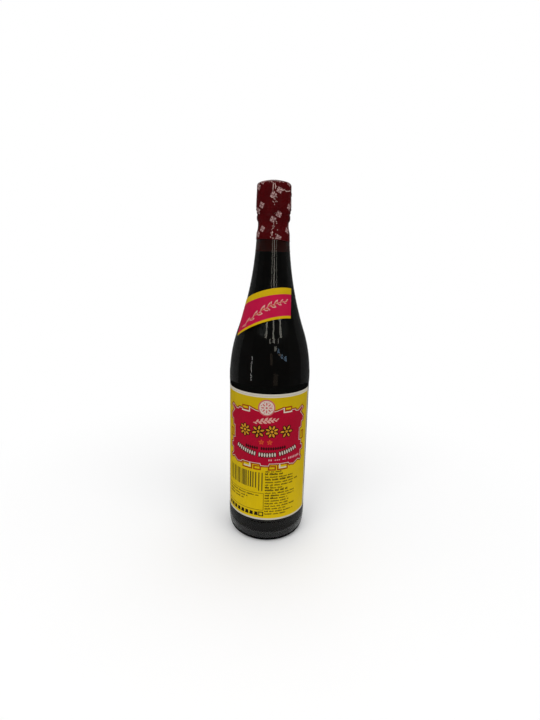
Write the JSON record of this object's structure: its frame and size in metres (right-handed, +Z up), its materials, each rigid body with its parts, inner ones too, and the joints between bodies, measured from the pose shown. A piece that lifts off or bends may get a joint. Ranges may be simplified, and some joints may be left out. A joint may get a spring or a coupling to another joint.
{
  "type": "black rice vinegar bottle",
  "caption": "Tall clear glass bottle full of dark rice vinegar, sealed by a printed red capsule, with a slanted neck label and a body label.",
  "frame": {"origin": "centre of the base, on the surface that the bottle stands on", "axes": "+Z up the bottle's axis, -Y towards the labels' front"},
  "size_m": [0.0708, 0.0708, 0.3079],
  "materials": {
    "glass": "clear, faintly grey-green moulded glass, stippled round the heel",
    "vinegar": null,
    "capsule": "very dark red shrunk film with pale motifs, satin",
    "neck_paper": "crimson coated paper between yellow stripes",
    "body_paper": "yellow coated paper with a pale border and a crimson panel"
  },
  "bodies": {
    "root": {"bottle_glass": "glass", "vinegar": "vinegar", "capsule": "capsule", "neck_label": "neck_paper", "body_label": "body_paper"}
  },
  "joints": []
}
